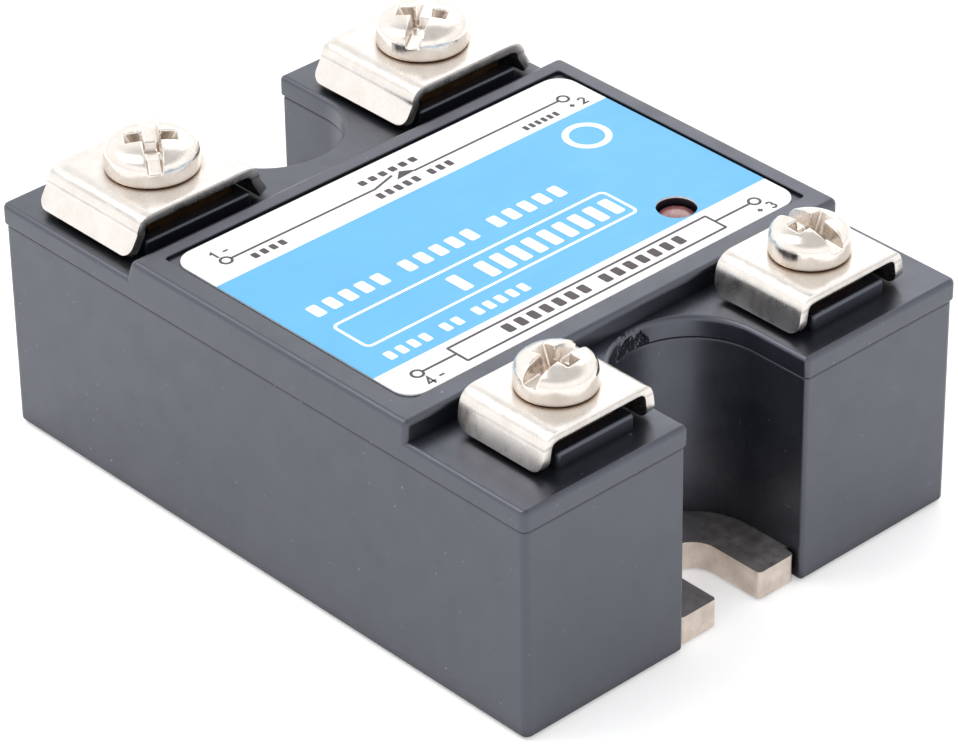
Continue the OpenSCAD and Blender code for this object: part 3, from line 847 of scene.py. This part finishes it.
def build_clamp(t):
    """A pressed strip: its section is swept along X, and its four lower corners are rounded."""
    mid_z = t.clamp_z - CLAMP_T / 2
    tip = (t.flange_out - CLAMP_T / 2, mid_z - DECK_Z - FLANGE_GAP)
    bend = smooth_line(SHOULDER + [tip], 8)
    bend = [Vector((0, mid_z))] + [Vector((t.flat_half + out, mid_z - down)) for out, down in bend]
    reach = sum((b - a).length for a, b in zip(bend, bend[1:]))
    steps = 34
    stations = [((reach - t.flange_corner) * i / steps, t.clamp_length / 2) for i in range(steps)]
    for angle in range(90, -1, -10):
        turn = math.radians(angle)
        stations.append((
            reach - t.flange_corner * (1 - math.cos(turn)),
            t.clamp_length / 2 - t.flange_corner * (1 - math.sin(turn)),
        ))
    half = resampled(bend, [station for station, _ in stations])
    half_lengths = [length for _, length in stations]
    line = [Vector((-p.x, p.y)) for p in reversed(half[1:])] + half
    lengths = half_lengths[:0:-1] + half_lengths
    outer, inner = [], []
    for i, p in enumerate(line):
        way = (line[min(i + 1, len(line) - 1)] - line[max(i - 1, 0)]).normalized()
        normal = Vector((-way.y, way.x))
        outer.append(p + normal * CLAMP_T / 2)
        inner.append(p - normal * CLAMP_T / 2)
    bm = bmesh.new()
    columns = 14
    section = list(zip(outer + inner[::-1], lengths + lengths[::-1]))
    grid = []
    for k in range(columns + 1):
        share = -1 + 2 * k / columns
        grid.append([bm.verts.new((t.x + share * length, t.y + p.x, p.y)) for p, length in section])
    for low, high in zip(grid, grid[1:]):
        for i in range(len(low)):
            j = (i + 1) % len(low)
            bm.faces.new((low[i], low[j], high[j], high[i]))
    count = len(outer)
    for row, flip in ((grid[0], False), (grid[-1], True)):
        for i in range(count - 1):
            quad = [row[i], row[i + 1], row[2 * count - 2 - i], row[2 * count - 1 - i]]
            bm.faces.new(quad[::-1] if flip else quad)
    bmesh.ops.recalc_face_normals(bm, faces=bm.faces)
    obj = to_object(bm, f"clamp_{t.number}_saddle")
    bevel = obj.modifiers.new("bevel", "BEVEL")
    bevel.width, bevel.segments, bevel.limit_method = 0.17 * MM, 3, "ANGLE"
    bevel.angle_limit = math.radians(50)
    bake_modifiers(obj)
    hole = post((t.x, t.y), t.shank_r + HOLE_PLAY, t.clamp_z - 3, t.clamp_z + CUTTER_RUN)
    carve(obj, "DIFFERENCE", hole, solver="EXACT")
    paint(shade(obj, 40), CLAMP_NICKEL)
    return install(obj, f"clamp_{t.number}", "clamp_nickel", t.clamp_node)


HEAD_H, RIM_H = 2.7, 1.15
# below 1, the dome's shoulder is fuller than a circle's
DOME_FULLNESS = 0.77
SCREW_LENGTH = 8.0


def recess_arm(length, width, depth, crown_z, floor_share):
    """One straight arm of the driver recess, narrower and shorter at its floor."""
    def rectangle(x, y):
        return [(-x, -y), (x, -y), (x, y), (-x, y)]

    floor_width_share, over = 0.7, 0.5
    low = rectangle(length / 2 * floor_share, width / 2 * floor_width_share)
    high = rectangle(length / 2, width / 2)
    return loft(bmesh.new(), [ring_of(low, crown_z - depth), ring_of(high, crown_z + over)])


def build_screw(t):
    """A pan head and a threaded shank in one skin, with the worn edges of a plated screw."""
    crown_z = t.clamp_z + HEAD_H
    tip_z = t.clamp_z - SCREW_LENGTH
    around = 48
    turns = [2 * math.pi * i / around for i in range(around)]

    def level_ring(radius, z):
        return [Vector((radius * math.cos(a), radius * math.sin(a), z)) for a in turns]

    rings = [level_ring(0.55 * t.shank_r, tip_z + 0.05)]
    thread_depth, chamfer, run_out, crest_gap = 0.32, 0.45, 0.6, 0.02
    step = t.pitch / 8
    for k in range(int((SCREW_LENGTH - run_out) / step) + 1):
        z = tip_z + chamfer + k * step
        ring = []
        for a in turns:
            phase = ((z - tip_z) / t.pitch - a / (2 * math.pi)) % 1.0
            crest = 1 - abs(2 * phase - 1)
            radius = t.shank_r - crest_gap - thread_depth * (1 - min(1.25 * crest, 1.0))
            ring.append(Vector((radius * math.cos(a), radius * math.sin(a), z)))
        rings.append(ring)
    rings.append(level_ring(t.shank_r - 0.1, t.clamp_z + 0.01))
    rings.append(level_ring(t.head_r - 0.12, t.clamp_z + 0.02))
    rings.append(level_ring(t.head_r, t.clamp_z + 0.14))
    rings.append(level_ring(t.head_r, t.clamp_z + RIM_H))
    for angle in range(6, 88, 6):
        turn = math.radians(angle)
        out, up = math.cos(turn) ** DOME_FULLNESS, math.sin(turn) ** DOME_FULLNESS
        rings.append(level_ring(t.head_r * out, t.clamp_z + RIM_H + (HEAD_H - RIM_H) * up))
    obj = to_object(loft(bmesh.new(), rings), f"screw_{t.number}_pan_head")
    slot_tool = recess_arm(2 * t.head_r + 2, 1.55, 1.42, crown_z, 1.0)
    arms = [recess_arm(1.3 * t.head_r, 1.5, 2.0, crown_z, 0.45) for _ in range(2)]
    bmesh.ops.rotate(arms[1], verts=arms[1].verts, matrix=Matrix.Rotation(math.pi / 2, 3, "Z"))
    carve(obj, "DIFFERENCE", slot_tool, *arms, solver="EXACT")
    remesh = obj.modifiers.new("skin", "REMESH")
    remesh.mode, remesh.voxel_size = "VOXEL", 0.075 * MM
    relax = obj.modifiers.new("relax", "SMOOTH")
    relax.factor, relax.iterations = 0.5, 3
    bake_modifiers(obj)
    obj.data.transform(Matrix.Translation(Vector((t.x, t.y, 0)) * MM) @ Matrix.Rotation(t.turn, 4, "Z"))
    obj.data.shade_smooth()
    paint(obj, SCREW_NICKEL)
    return install(obj, f"screw_{t.number}", "screw_nickel", t.screw_node)


def refined(node, width_mm, material):
    """A copy of a CAD node with clean faces and small round edges."""
    bm = bmesh.new()
    bm.from_mesh(frame["nodes"][node].data)
    bmesh.ops.remove_doubles(bm, verts=bm.verts, dist=1e-7)
    bmesh.ops.dissolve_limit(bm, angle_limit=math.radians(1), verts=bm.verts, edges=bm.edges)
    bmesh.ops.transform(bm, matrix=Matrix.Scale(1 / MM, 4), verts=bm.verts)
    obj = to_object(bm, f"{node}_fine")
    bevel = obj.modifiers.new("bevel", "BEVEL")
    bevel.width, bevel.segments, bevel.limit_method = width_mm * MM, 2, "ANGLE"
    bevel.angle_limit = math.radians(50)
    bake_modifiers(obj)
    return paint(shade(obj, 35), material)


# ---------------------------------------------------------------- assemble

build_housing()
build_lid()
build_base_plate()
build_label()
build_indicator()
for terminal in TERMINALS:
    build_clamp(terminal)
    build_screw(terminal)
    install(refined(terminal.strip_node, 0.08, PAINTED_SHADE_BRASS), "relay", "terminal_brass", terminal.strip_node)

for material_row in frame["record"]["materials"]:
    finish = INSIDE_FINISHES.get(material_row["slot"])
    for node_name in material_row.get("nodes", []):
        if finish and not frame["nodes"][node_name].hide_render:
            paint(frame["nodes"][node_name], finish)


# ---------------------------------------------------------------- stage


def build_floor():
    size = 3.0
    bm = bmesh.new()
    bmesh.ops.create_grid(bm, x_segments=2, y_segments=2, size=size)
    mesh = bpy.data.meshes.new("floor")
    bm.to_mesh(mesh)
    bm.free()
    floor = bpy.data.objects.new("floor", mesh)
    floor.location.z = -0.0002
    bpy.context.scene.collection.objects.link(floor)
    f = Finish("pale_floor", Roughness=0.7)
    f.shader.inputs["Base Color"].default_value = linear("#f2f2f3")
    f.shader.inputs["Emission Color"].default_value = (1, 1, 1, 1)
    f.shader.inputs["Emission Strength"].default_value = 0.3
    paint(floor, f.material)


def soft_light(name, place, size, power, tint):
    """A square softbox that faces the object's middle."""
    lamp = bpy.data.lights.new(name, "AREA")
    lamp.shape, lamp.size, lamp.energy, lamp.color = "SQUARE", size, power, tint
    obj = bpy.data.objects.new(name, lamp)
    obj.location = place
    aim = Vector((0, 0, 0.012)) - Vector(place)
    obj.rotation_euler = aim.to_track_quat("-Z", "Y").to_euler()
    bpy.context.scene.collection.objects.link(obj)


def build_world():
    """A bright room: brightest between low and high up, greyer straight overhead, and a little greyer at and below
    the horizon.
    """
    world = bpy.data.worlds.new("studio")
    bpy.context.scene.world = world
    world.use_nodes = True
    tree = world.node_tree
    nodes, links = tree.nodes, tree.links
    background = nodes["Background"]
    where = nodes.new("ShaderNodeTexCoord").outputs["Generated"]
    split = nodes.new("ShaderNodeSeparateXYZ")
    links.new(where, split.inputs[0])
    ramp = nodes.new("ShaderNodeValToRGB")
    tones = ((0.0, 0.86), (0.25, 1.0), (0.6, 1.0), (0.82, 0.58))
    while len(ramp.color_ramp.elements) < len(tones):
        ramp.color_ramp.elements.new(0.5)
    for element, (place, tone) in zip(ramp.color_ramp.elements, tones):
        element.position = place
        element.color = (tone, tone, tone, 1)
    links.new(split.outputs["Z"], ramp.inputs[0])
    links.new(ramp.outputs[0], background.inputs["Color"])
    background.inputs["Strength"].default_value = 1.38


def build_camera():
    azimuth, elevation, roll = math.radians(47.49), math.radians(33.07), math.radians(-0.88)
    distance, offset_right, offset_up = 0.3742, 0.00030, 0.00658
    back = Vector((
        math.sin(azimuth) * math.cos(elevation),
        -math.cos(azimuth) * math.cos(elevation),
        math.sin(elevation),
    ))
    level = Vector((math.cos(azimuth), math.sin(azimuth), 0))
    rise = back.cross(level)
    right = math.cos(roll) * level + math.sin(roll) * rise
    up = -math.sin(roll) * level + math.cos(roll) * rise
    data = bpy.data.cameras.new("camera")
    data.sensor_width, data.lens = 36.0, 181.17
    data.clip_start, data.clip_end = 0.01, 20.0
    camera = bpy.data.objects.new("camera", data)
    place = back * distance + right * offset_right + up * offset_up
    turn = Matrix((right, up, back)).transposed().to_4x4()
    camera.matrix_world = Matrix.Translation(place) @ turn
    bpy.context.scene.collection.objects.link(camera)
    bpy.context.scene.camera = camera


build_floor()
build_world()
build_camera()
soft_light("key", (-0.35, -0.25, 0.75), 0.5, 2.2, (1.0, 0.99, 0.98))
soft_light("rear", (-0.3, 0.5, 0.45), 0.4, 0.4, (0.97, 0.98, 1.0))
bpy.context.scene.view_settings.view_transform = "Standard"
